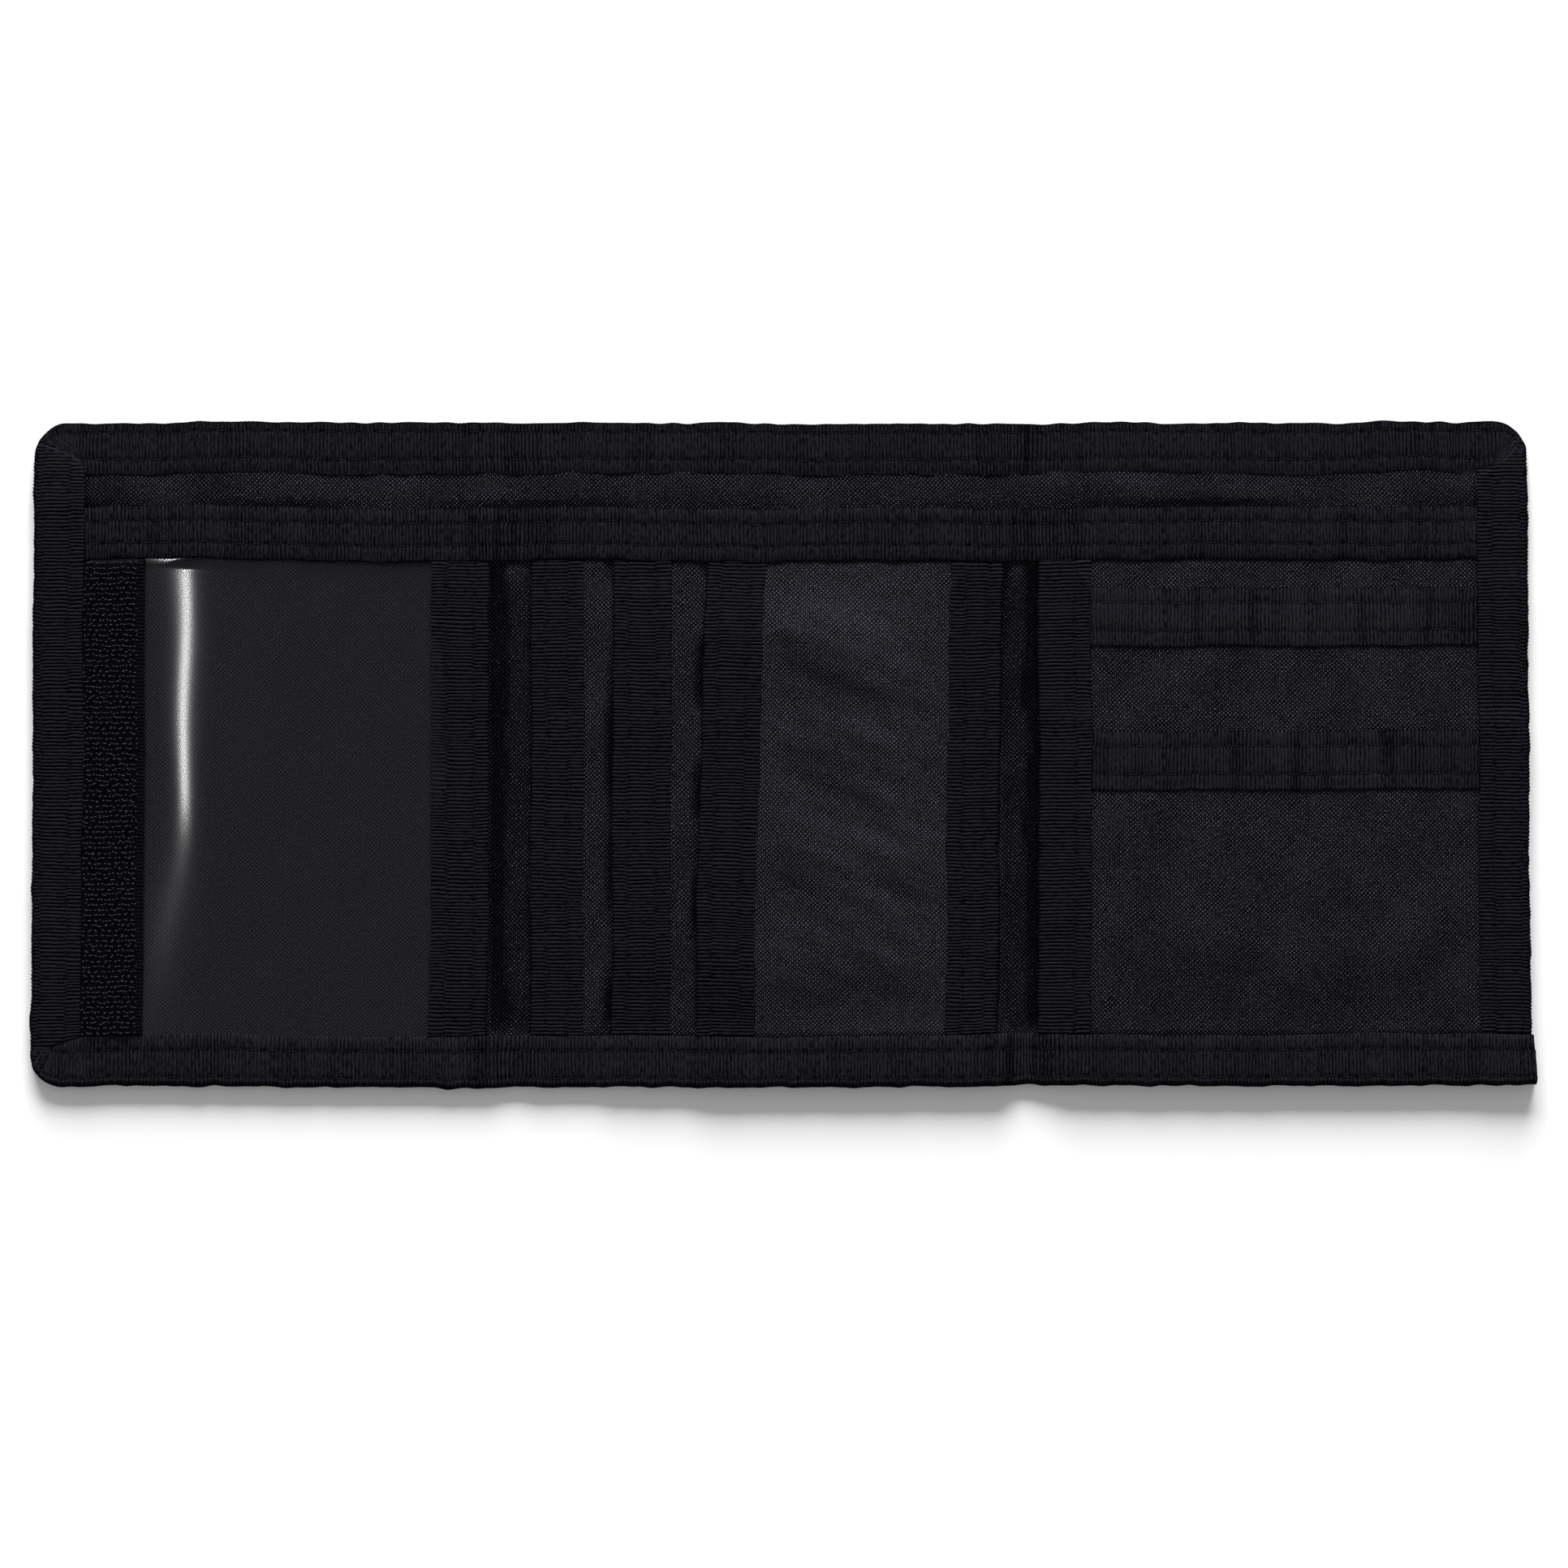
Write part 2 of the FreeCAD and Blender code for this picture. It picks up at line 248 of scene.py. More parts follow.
def painted_shade_and_tone(x, y):
    """Tone: about 1 on open cloth with a slow random change, less where shade is painted in the folds'
    valleys, over the spines and beside a thicker tape, and more where light is painted on the cloth under
    the film.
    """
    # painted shade in the valleys beside the window's tape and the slip pocket's tape, and over the spines
    wander = spine_wander(y, LEFT_VALLEY)
    valley = 0.70 * ramp(WINDOW_TAPE[1] + 3.4 + wander - x, 0.9) * ramp(x - WINDOW_TAPE[1] + 0.5, 0.5)
    wander = spine_wander(y, RIGHT_VALLEY)
    right = ramp(x - SLIP_TAPE[0] + 2.6 - wander, 1.1) * ramp(SLIP_TAPE[0] + 1.2 - x, 0.6)
    valley = valley + 0.97 * right
    left_spine = ramp(x - WINDOW_TAPE[1] + 0.5, 0.5) * ramp(MOUTHS[0][0] + 1 - x, 1)
    right_spine = ramp(x - END_TAPE[1] + 0.5, 0.5) * ramp(SLIP_TAPE[0] + 1 - x, 1)
    valley = (valley + SPINE_DARKNESS * (left_spine + right_spine)) * between_seams(y)
    on_pockets = x < END_TAPE[0]
    # painted shade in the open gaps at the second and third card pockets' mouths
    for n, mouth in enumerate(MOUTHS[1:]):
        gap = np.clip(0.3 + 0.9 * ripple(0 * y, y, 26, 27 + n), 0, 0.9) * between_seams(y)
        edge = mouth[0] - 0.3 + lean(y, LEANS[n + 1])
        valley = valley + gap * bump(x, edge, 1.0) * on_pockets
    # painted light: the cloth under the film is made lighter, to make up for the light that the film holds
    # back
    under_film = ramp(WINDOW_TAPE[0] + 1 - x, 1)
    open_cloth = 1 + 0.10 * ripple(x, y, 17, 24) + 0.7 * under_film
    return open_cloth * (1 - np.clip(valley, 0, DARKEST_VALLEY))


def plain_shade(x, y):
    """The outermost card pocket's cloth is a lighter tone, with a slow random change."""
    return 1.25 + 0.12 * ripple(x, y, 30, 29)


def tucked(x, y):
    """How much lower a pocket lies where it passes under the tapes around it."""
    past_y = np.maximum(y - DIVIDER_LOW, IN_BOTTOM - y)
    past = np.maximum(past_y, np.maximum(x - IN_RIGHT, IN_LEFT - x))
    return 0.45 * ramp(past + 0.5, 0.8)


EDGE_BACKING = 0.30  # height of the edge tape above what it holds


def edge_level(x, y, stack, inner):
    """Top of a tape that holds the stack's edge where inner is 1, and only the lining where it's 0."""
    held = (DIVIDER_Z - LINING_Z + stack * seam_share(x) + 0.15) * inner
    return LINING_Z + held + EDGE_BACKING + 0.05 * ripple(x, y, 9, 31)


def tape_level(x, y):
    return edge_level(x, y, stack_above(x, y), ramp(DIVIDER_TOP + 7 - y, 6.5))


def settle(x, y):
    """The whole wallet's small distortions, as offsets in x and y."""
    lower = -y / EDGE_TOP
    left = -(0.75 + 0.35 * lower) * ramp(-x - 70, 70)
    dx = left + 0.45 * lower * ramp(x - 70, 70) + 0.2 * ripple(0.15 * x, y, 55, 41)
    dy = 0.30 * ripple(x, 0.2 * y, 90, 42) + 0.13 * ripple(x, 0.3 * y, 22, 43)
    return dx, dy


# ---------------- meshes


MM = 0.001  # metres in a millimetre


def add_mesh(name, points, faces, material, uv=None, shade=None, weld=False, caps=()):
    """Makes a piece from points in mm. uv is in mm too, and shade multiplies its colour, for tone and for
    painted shade and light.
    """
    points = np.array(points)
    dx, dy = settle(points[:, 0], points[:, 1])
    points[:, 0] += dx
    points[:, 1] += dy
    mesh = bpy.data.meshes.new(name)
    every_face = faces.tolist() + [list(cap) for cap in caps]
    mesh.from_pydata((points * MM).tolist(), [], every_face)
    if uv is not None:
        corner = np.zeros(len(mesh.loops), np.int32)
        mesh.loops.foreach_get("vertex_index", corner)
        flat = (uv[corner] * MM).astype(np.float32)
        mesh.uv_layers.new(name="UVMap").data.foreach_set("uv", flat.ravel())
    if shade is not None:
        attribute = mesh.attributes.new("shade", "FLOAT", "POINT")
        attribute.data.foreach_set("value", shade.astype(np.float32))
    mesh.polygons.foreach_set("use_smooth", np.ones(len(mesh.polygons), bool))
    if weld:
        work = bmesh.new()
        work.from_mesh(mesh)
        bmesh.ops.remove_doubles(work, verts=work.verts, dist=2e-6)
        bmesh.ops.dissolve_degenerate(work, edges=work.edges, dist=1e-6)
        work.to_mesh(mesh)
        work.free()
    mesh.validate()
    mesh.update()
    mesh.materials.append(material)
    piece = bpy.data.objects.new(name, mesh)
    bpy.context.scene.collection.objects.link(piece)
    return piece


def grid_faces(rows, columns, ring=False):
    """Quads of a rows x columns grid of points; ring also joins the last column to the first."""
    i = np.arange(rows - 1)[:, None]
    j = np.arange(columns if ring else columns - 1)[None, :]
    k = (j + 1) % columns
    this, following = i * columns, (i + 1) * columns
    return np.stack([this + j, following + j, following + k, this + k], -1).reshape(-1, 4)


def attach(piece, where, slot, *nodes):
    """Puts a piece on the body named by where. Where it is a quarter's number, only bakes the piece's
    transform into its mesh.
    """
    if isinstance(where, str):
        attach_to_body(piece, where)
    else:
        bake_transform(piece)
    if nodes:
        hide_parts(*nodes)


def quarter_nodes(stem, number):
    """The CAD nodes that a quarter of a running cloth or tape stands for."""
    bodies = [["left_flap"], ["left_spine", "middle"], ["right_spine"], ["right_flap"]][number]
    return [f"{stem}_{body}" for body in bodies]


def steps(start, end, size):
    return np.linspace(start, end, max(2, int(round((end - start) / size)) + 1))


def straight(value):
    """A line at that value, as a function of x."""
    return lambda x: value + 0 * x


def slab(name, xs, y_low, y_high, height, thickness, material, size, shift=(0, 0), dark=None, slide=None):
    """A cloth with two faces and a rim. y_low and y_high are functions of x.

    height, dark (its tone, with painted shade and light) and slide (its offset in x) are functions of x and
    y. shift moves the weave.
    """
    low, high = y_low(xs), y_high(xs)
    count = max(3, int(round(np.max(high - low) / size)) + 1)
    t = np.linspace(0, 1, count)[None, :]
    x = np.repeat(xs[:, None], count, 1)
    y = low[:, None] + (high - low)[:, None] * t
    if slide:
        x = x + slide(x, y)
    z = height(x, y)
    upper = np.stack([x, y, z], -1).reshape(-1, 3)
    lower = np.stack([x, y, z - thickness], -1).reshape(-1, 3)
    total = len(upper)
    face_up = grid_faces(len(xs), count)
    index = np.arange(total).reshape(len(xs), count)
    border = np.concatenate([index[0], index[1:, -1], index[-1, -2::-1], index[-2:0:-1, 0]])
    following = np.roll(border, -1)
    rim = np.stack([border, following, following + total, border + total], -1)
    faces = np.concatenate([face_up, face_up[:, ::-1] + total, rim])
    flat = np.stack([x + shift[0], y + shift[1]], -1).reshape(-1, 2)
    shade = np.ones(len(upper)) if dark is None else dark(x, y).reshape(-1)
    points = np.concatenate([upper, lower])
    piece = add_mesh(name, points, faces, material, uv=np.concatenate([flat, flat]), shade=np.tile(shade, 2))
    piece.data.set_sharp_from_angle(angle=math.radians(50))
    return piece


class Tape:
    """A ribbed tape folded over an edge. u runs along it and s inwards from the fold.

    place gives x and y of u and s, top and bottom are heights at x and y, and rows are the stitch rows'
    distances from the fold. crisp sets how deep the ribs are and how strongly their crests are painted
    light and their gaps painted shade, most on tapes along Y, whose ribs face the key light. patchy is how
    uneven they look.
    """

    def __init__(
        self, width, place, top, bottom, rows, seed, under_rows=False, radius=1.1, crisp=1.0, patchy=0.04
    ):
        self.width, self.place, self.top, self.bottom = width, place, top, bottom
        self.rows, self.seed, self.under_rows, self.radius = rows, seed, under_rows, radius
        self.crisp, self.patchy = crisp, patchy

    def drift(self, u, s):
        """The ribs shift a little along the tape between one stitch row and the next."""
        total = 0.16 * ripple(u, 0 * u, 16, self.seed) + 0.05 * ripple(u, s, 4, self.seed + 1)
        for n, row in enumerate(self.rows):
            change = 0.30 * ripple(u, 0 * u, 13, self.seed + 5 + n)
            total = total + change * ramp(s - row + 0.25, 0.5)
        return total

    def sunk(self, u, s):
        """Depth of the groove that the stitches pull, deeper at each needle hole."""
        depth = 0.0
        for n, row in enumerate(self.rows):
            phase = (u - self.first(n)) / STITCH
            hole = bump((phase - np.round(phase)) * STITCH, 0, 0.42)
            pull = 0.08 + 0.09 * hole
            depth = depth + pull * bump(s, row, 0.30) + 0.04 * bump(s, row, 1.3)
        return depth

    def first(self, n):
        """Where the stitches of a row start."""
        return 0.37 * self.seed + 1.3 * n

    def section(self):
        """The cross-section: the skin from the free edge over the fold, then back along the inside.

        Gives each point's s, side (1 above, -1 below), how far out on the fold, and 1 on the skin.
        """
        w, r = self.width, self.radius
        near_rows = (row + d for row in self.rows for d in (-0.75, -0.38, -0.18, 0, 0.18, 0.38, 0.75))
        inner = [w, w - 0.25, w - 0.7, *near_rows, *np.arange(r, w, 1.1)]
        flange = np.array(sorted({round(s, 3) for s in inner if r < s <= w}, reverse=True))
        flange = flange[np.concatenate([[True], np.abs(np.diff(flange)) > 0.14])]
        turn = np.radians([90, 66, 42, 20, 0, -20, -42, -66, -90])
        lower = flange[::-1] if self.under_rows else np.array([2.0, 0.45 * w, w])
        across = np.array([w - 0.05, 0.8 * w, 0.6 * w, 0.4 * w, 1.2 * r])
        back = np.concatenate([across, [0.5, 0.5], across[::-1]])
        s = np.concatenate([flange, r * (1 - np.cos(turn)), lower, back])
        under, over = -np.ones(len(across)), np.ones(len(across))
        side = [0 * flange + 1, np.sin(turn), 0 * lower - 1, under, [-0.4, 0.4], over]
        side = np.concatenate(side)
        out = np.concatenate([0 * flange, np.cos(turn), 0 * lower, 0 * back])
        skin = np.ones(len(s))
        skin[-len(back) :] = 0
        return s, side[None, :], out[None, :], skin[None, :]

    def rib_shade(self, u, U, S, C):
        """Painted highlight on the ribs' crests and painted shade in their gaps, deeper near the folds,
        times a tone that varies from rib to rib.
        """
        rib = np.floor(u / RIB + 0.01).astype(int)
        own = np.random.default_rng(self.seed + 90).normal(0, 1, 1000)[rib % 1000]
        runs_through = self.crisp == 0
        # near the folds the painted shade in the ribs' gaps is deeper and their tone more uneven
        near_fold = (bump(U, LEFT_CUT, 9) + bump(U, RIGHT_CUT, 7)) * runs_through
        own = 1 + (0.09 + 0.10 * near_fold) * np.clip(own, -2, 2)[:, None]
        patches = ripple(U, 0 * U, 5, self.seed + 91) + 0.5 * ripple(U, S, 14, self.seed + 92)
        own = own + (self.patchy + 0.15 * near_fold) * patches
        uneven = 0.12 * (1 - self.crisp) * ripple(U, 0 * U, 11, self.seed + 93)
        depth = np.clip(0.72 + 0.28 * self.crisp + 0.3 * near_fold + uneven, 0.25, 1)
        raised = (1 + 0.9 * self.crisp) * (1 - depth * (1 - C ** (1 + 2.6 * self.crisp)))
        return raised * own

    def build(self, name, start, end, edge_low=None, edge_high=None, tuck_low=0, tuck_high=0, cap=False):
        """The tape from start to end, or to the lines edge_low and edge_high, which it may pass under."""
        quarter_rib = RIB / 4
        u = np.arange(round(start / quarter_rib), round(end / quarter_rib) + 1) * quarter_rib
        crest = np.array([0.0, 0.74, 1.0, 0.74])[np.round(u / quarter_rib).astype(int) % 4]
        s, side, out, skin = self.section()
        S = s[None, :] + 0 * u[:, None]
        U = u[:, None] + 0 * S
        C = crest[:, None] + 0 * S
        amount = (0.06 + 0.12 * self.crisp) * (1 + 0.3 * ripple(U, S, 7, self.seed + 3))
        dip = amount * (1 - C) * skin
        free = bump(S, self.width, 0.22) * skin * (side > 0.9)
        along = U + self.drift(U, S)
        ends = []
        if edge_low is not None:
            ends.append((edge_low, -tuck_low, np.maximum, 1))
        if edge_high is not None:
            ends.append((edge_high, tuck_high, np.minimum, -1))
        for edge, tuck, limit, _ in ends:
            along = limit(along, edge(*self.place(along, S)) + tuck)
        for _ in range(6):
            for edge, tuck, _, sign in ends:
                line = edge(*self.place(along, S)) + tuck
                along = np.where(sign * (along - line) <= 1e-6, line, along)
        x, y = self.place(along, S + dip * out + 0.10 * (C - 0.5) * free)
        top, bottom = self.top(x, y), self.bottom(x, y)
        for edge, tuck, _, sign in ends:
            if tuck:
                inside = sign * (along - edge(*self.place(along, S)))
                top = top - 0.34 * ramp(0.5 - inside, 0.7)
        sunk = self.sunk(U, S) * skin
        pressed = 0.2 * ramp(S - self.width + 1.4, 1.4) * (self.crisp == 0)
        top_z = top - sunk * (side > 0.9) - 0.05 * free - pressed
        low_z = bottom + (sunk if self.under_rows else 0) * (side < -0.9)
        middle, half = (top_z + low_z) / 2, (top_z - low_z) / 2
        thick = np.minimum(0.45, 0.9 * half)
        z = middle + half * side - side * (dip + thick * (1 - skin))
        count = S.shape[1]
        faces = grid_faces(len(u), count, ring=True)[:, ::-1]
        points = np.stack([x, y, z], -1).reshape(-1, 3)
        uv = np.stack([U, S], -1).reshape(-1, 2)
        # painted shade on the tape's folded edge and in the stitches' grooves
        on_fold = 1 - 0.75 * out
        in_groove = 1 - np.clip(2.4 * sunk, 0, 0.7)
        shade = (self.rib_shade(u, U, S, C) * on_fold * skin * in_groove).reshape(-1)
        caps = [[(len(u) - 1) * count + k for k in range(count)]] if cap else []
        return add_mesh(name, points, faces, tape_black, uv=uv, shade=shade, weld=bool(ends), caps=caps)

    def stitches(self, start, end, under=False, low=None, high=None):
        """The thread's path in every stitch between start and end, as an array (stitches, 7, 3)."""
        found = []
        for n, row in enumerate(self.rows):
            first = self.first(n)
            k = np.arange(math.ceil((start - first) / STITCH), math.floor((end - first) / STITCH))
            u = first + (k + 0.5) * STITCH
            if low is not None:
                u = u[u - 1.6 > low(*self.place(u, row + 0 * u))]
            if high is not None:
                u = u[u + 1.6 < high(*self.place(u, row + 0 * u))]
            rng = np.random.default_rng(self.seed + 50 + n)
            slant = rng.normal(0, 0.10, len(u))
            ends = []
            for t in np.linspace(-1, 1, 7):
                along = u + t * (STITCH / 2 - 0.22)
                s = row + slant * t + 0 * u
                x, y = self.place(along, s)
                arch = 0.15 * (1 - t**4) - 0.15
                z = self.bottom(x, y) - arch + 0.14 if under else self.top(x, y) - 0.15 + arch
                ends.append(np.stack([x, y, z], -1))
            found.append(np.stack(ends, 1))
        return np.concatenate(found) if found else np.zeros((0, 7, 3))


def thread(name, paths, material, radius=0.12, sides=6):
    """A short length of round thread along each path, thinner at its ends. paths is (count, 7, 3)."""
    ahead = np.gradient(paths, axis=1)
    ahead /= np.linalg.norm(ahead, axis=2, keepdims=True)
    across = np.cross(ahead, [0, 0, 1.0])
    across /= np.linalg.norm(across, axis=2, keepdims=True)
    up = np.cross(across, ahead)
    size = radius * np.array([0.55, 0.95, 1.0, 1.0, 1.0, 0.95, 0.55])[None, :, None, None]
    turn = np.linspace(0, 2 * math.pi, sides, endpoint=False)
    cosine, sine = (wave(turn)[None, None, :, None] for wave in (np.cos, np.sin))
    ring = across[:, :, None] * cosine + up[:, :, None] * sine
    points = paths[:, :, None] + ring * size
    count, rings = paths.shape[:2]
    one = grid_faces(rings, sides, ring=True)
    starts = np.arange(count) * rings * sides
    faces = (one[None] + starts[:, None, None]).reshape(-1, 4)
    lid = np.arange(sides)
    caps = [list(start + lid) for start in starts]
    caps += [list(start + (rings - 1) * sides + lid[::-1]) for start in starts]
    uv = np.zeros((count, rings, sides, 2))
    uv[..., 0] = (np.arange(rings) * 0.5)[None, :, None] + (np.arange(count) * 3.7)[:, None, None]
    uv[..., 1] = (turn * radius)[None, None, :]
    return add_mesh(name, points.reshape(-1, 3), faces, material, uv=uv.reshape(-1, 2), caps=caps)


# ---------------- materials


class Graph:
    """A material's node graph, with a Principled shader."""

    def __init__(self, name, **values):
        self.material = bpy.data.materials.new(name)
        self.material.use_nodes = True
        self.tree = self.material.node_tree
        self.shader = self.tree.nodes["Principled BSDF"]
        for key, value in values.items():
            self.shader.inputs[key.replace("_", " ")].default_value = value

    def add(self, kind, *links, **settings):
        node = self.tree.nodes.new("ShaderNode" + kind)
        for key, value in settings.items():
            setattr(node, key, value)
        for index, source in enumerate(links):
            if isinstance(source, bpy.types.NodeSocket):
                self.tree.links.new(source, node.inputs[index])
            else:
                node.inputs[index].default_value = source
        return node

    def math(self, operation, *values):
        return self.add("Math", *values, operation=operation).outputs[0]

    def uv(self):
        split = self.add("SeparateXYZ", self.add("TexCoord").outputs["UV"])
        return split.outputs[0], split.outputs[1]

    def shade(self):
        return self.add("Attribute", attribute_name="shade").outputs["Fac"]

    def noise(self, across, along, scale, detail=2.0):
        vector = self.add("CombineXYZ", across, along, 0.0).outputs[0]
        node = self.add("TexNoise", vector)
        node.inputs["Scale"].default_value = scale
        node.inputs["Detail"].default_value = detail
        return node.outputs["Fac"]

    def ramp(self, source, *stops):
        node = self.add("ValToRGB", source)
        elements = node.color_ramp.elements
        while len(elements) < len(stops):
            elements.new(0.5)
        for element, (place, colour) in zip(elements, stops):
            element.position = place
            element.color = (*colour, 1)
        return node.outputs[0]

    def colour(self, source):
        self.tree.links.new(source, self.shader.inputs["Base Color"])

    def bumped(self, height, distance, strength=1.0):
        node = self.add("Bump")
        node.inputs["Strength"].default_value = strength
        node.inputs["Distance"].default_value = distance
        self.tree.links.new(height, node.inputs["Height"])
        self.tree.links.new(node.outputs[0], self.shader.inputs["Normal"])


def woven(name, pitch, dark, light, depth):
    """Plain weave: threads of that pitch in metres pass over and under one another."""
    graph = Graph(name, **MATT)
    calc = graph.math
    times, plus = partial(calc, "MULTIPLY"), partial(calc, "ADD")
    u, v = graph.uv()
    bend = times(calc("SUBTRACT", graph.noise(u, v, 260.0), 0.5), 0.0007)
    u = plus(u, bend)
    v = calc("SUBTRACT", v, bend)
    sine_u = calc("SINE", times(u, math.pi / pitch))
    sine_v = calc("SINE", times(v, math.pi / pitch))
    over = calc("GREATER_THAN", times(sine_u, sine_v), 0.0)
    under = calc("SUBTRACT", 1.0, over)
    round_u, round_v = calc("ABSOLUTE", sine_u), calc("ABSOLUTE", sine_v)
    warp = times(round_u, calc("POWER", round_v, 0.4))
    weft = times(round_v, calc("POWER", round_u, 0.4))
    warp = times(warp, over)
    weft = times(times(weft, under), 0.22)
    height = plus(warp, weft)
    along_warp = graph.noise(times(u, 0.25), v, FLECKS)
    along_weft = graph.noise(u, times(v, 0.25), FLECKS)
    along_warp = times(along_warp, over)
    uneven = plus(along_warp, times(along_weft, under))
    # painted shade: the colour follows the threads' height, so it is dark in the gaps and on the lower weft
    # floats
    tone = times(height, plus(-0.1, times(uneven, 1.9)))
    # painted glints: where the noise is high, the threads are made much lighter
    painted_glint = calc("SUBTRACT", graph.noise(u, v, FLECKS, 0.0), 0.62)
    painted_glint = calc("MAXIMUM", times(painted_glint, 10.0), 0.0)
    tone = plus(tone, times(painted_glint, height))
    tone = times(tone, graph.shade())
    # the brightest stop is the painted glints' colour
    bright = tuple(2.2 * value for value in light)
    graph.colour(graph.ramp(tone, (0.10, dark), (0.55, light), (1.0, bright)))
    graph.bumped(height, depth)
    return graph.material


def ribbed(name, dark, light):
    """Grosgrain: the ribs are in the mesh, and fine warp yarns run over them."""
    graph = Graph(name, **MATT)
    u, v = graph.uv()
    yarn = graph.noise(graph.math("MULTIPLY", u, 0.12), v, 5200.0, 1.0)
    flecks = graph.noise(u, graph.math("MULTIPLY", v, 0.3), FLECKS, 1.0)
    tone = graph.math("ADD", -0.4, graph.math("MULTIPLY", flecks, 2.8))
    # the shade attribute brings the ribs' painted highlights and shade, and the painted shade on folds and
    # grooves
    tone = graph.math("MULTIPLY", graph.shade(), tone)
    graph.colour(graph.ramp(tone, (0.05, dark), (1.0, light)))
    graph.bumped(yarn, 0.00006, 0.7)
    return graph.material


def twisted(name, colour):
    """Thread whose strands run round it."""
    graph = Graph(name, Base_Color=colour, **MATT)
    u, v = graph.uv()
    turn = graph.math("ADD", u, graph.math("MULTIPLY", v, 1.5))
    graph.bumped(graph.math("SINE", graph.math("MULTIPLY", turn, 21000.0)), 0.00003, 0.6)
    return graph.material


def plain(name, colour, roughness, specular, **values):
    values = {"Base_Color": colour, "Roughness": roughness, "Specular_IOR_Level": specular, **values}
    return Graph(name, **values).material


MATT = {"Roughness": 0.7, "Specular_IOR_Level": 0.0}  # without it, cloth turns white at low angles
FLECKS = 2600.0  # scale of the uneven threads' noise
FINE, COARSE = 0.00040, 0.00062  # pitches of the inner cloths and the outer shell
DARK_NYLON = (0.0013, 0.0013, 0.0019)
cloth_black = woven("pocket_nylon", FINE, DARK_NYLON, (0.0270, 0.0276, 0.0340), 0.00012)
lining_black = woven("lining_nylon", FINE, DARK_NYLON, (0.0265, 0.0260, 0.0335), 0.00012)
shell_black = woven("shell_nylon", COARSE, (0.0010, 0.0010, 0.0015), (0.0275, 0.0275, 0.0330), 0.00018)
tape_black = ribbed("grosgrain", (0.0002, 0.0002, 0.0005), (0.0114, 0.0112, 0.0148))
thread_black = twisted("polyester_thread", (0.0074, 0.0074, 0.0100, 1))
vinyl = plain("clear_vinyl", (0.008, 0.0085, 0.012, 1), 0.09, 0.3, IOR=1.5, Alpha=0.30)
hook_ground = plain("hook_ground", (0.0038, 0.0038, 0.0052, 1), 0.7, 0.0)
nylon_hook = plain("hook_nylon", (0.0160, 0.0160, 0.0205, 1), 0.35, 0.20)
loop_pile = plain("loop_nylon", (0.013, 0.013, 0.016, 1), 0.8, 0.0)

# ---------------- the outline


def rounding(t, end):
    """How far a rounded corner cuts in at t, on an edge that ends at end and -end."""
    reach = np.clip(np.abs(t) - (end - CORNER), 0, CORNER - 0.03)
    return CORNER - np.sqrt(CORNER**2 - reach**2)


def corner_drop(x, y_sign):
    """How far corners cut into the upper (1) or lower (-1) edge at x. The lower right one is square."""
    return np.where((x > 0) & (y_sign < 0), 0.0, rounding(x, EDGE_RIGHT))


def side_drop(y, x_sign):
    """How far corners cut into the right (1) or left (-1) edge at y."""
    return np.where((y < 0) & (x_sign > 0), 0.0, rounding(y, EDGE_TOP))


def waver(t, seed):
    """How far a folded edge wanders from a straight line."""
    return 0.10 * ripple(t, 0 * t, 9, seed) + 0.07 * ripple(t, 0 * t, 3.6, seed + 1)


def sewn_line(t, seed):
    """How far a tape's free edge wanders from a straight line."""
    return waver(t, seed) + 0.35 * ripple(t, 0 * t, 48, seed + 1) + 0.12 * ripple(t, 0 * t, 17, seed + 2)


def between(outer, inner, s):
    return outer + (inner - outer) * s / EDGE_WIDTH


def from_top(u, s):
    return u, between(EDGE_TOP - corner_drop(u, 1) + waver(u, 61), IN_TOP + sewn_line(u, 63), s)


def from_bottom(u, s):
    outer = EDGE_BOTTOM + corner_drop(u, -1) + waver(u, 65)
    return u, between(outer, IN_BOTTOM + 0.6 * sewn_line(u, 67), s)


def from_left(u, s):
    outer = EDGE_LEFT + side_drop(u, -1) + waver(u, 69)
    return between(outer, IN_LEFT + 0.6 * sewn_line(u, 71), s), u


def from_right(u, s):
    outer = EDGE_RIGHT - side_drop(u, 1) + waver(u, 73)
    return between(outer, IN_RIGHT + 0.6 * sewn_line(u, 75), s), u


# the lines along which two edge tapes meet at the corners
UPPER_LEFT = [(-141.6, 59.6), (-140.6, 59.5), (-138.3, 58.8), (-136.4, 57.9)]
UPPER_LEFT = np.array(UPPER_LEFT + [(-134.5, 56.8), (-132.6, 55.6), (-131.6, 53.4)])
UPPER_RIGHT = np.array([(131.7, 53.2), (134.9, 54.0), (138.6, 59.7), (140.3, 62.0), (141.8, 63.2)])
LOWER_LEFT = np.array([(-141.8, -62.6), (-139.8, -60.9), (-136.9, -54.9), (-131.6, -53.4)])


def straight_across(x, y):
    return IN_BOTTOM + 0 * x


def x_on(line):
    order = np.argsort(line[:, 1])
    return lambda x, y: np.interp(y, line[order, 1], line[order, 0])


def y_on(line):
    return lambda x, y: np.interp(x, line[:, 0], line[:, 1])


def side_level(x, y):
    """Top of the tapes along the two ends, which climb slowly."""
    return edge_level(x, y, stack_above(x, np.minimum(y, DIVIDER_LOW)), ramp(EDGE_TOP - 1 - y, 15))


def floor_level(x, y):
    return 0.0 * x


def bottom_top(x, y):
    """The lower edge's tape also lies over the right edge's tape."""
    return tape_level(x, y) + 0.32 * ramp(x - IN_RIGHT + 1.5, 2)


def edge_tape(place, top, seed, crisp=1.0):
    rows = (1.8, EDGE_WIDTH - 2.8)
    return Tape(EDGE_WIDTH, place, top, floor_level, rows, seed, under_rows=True, crisp=crisp)


def two_rows(width):
    return SEAM, width - SEAM


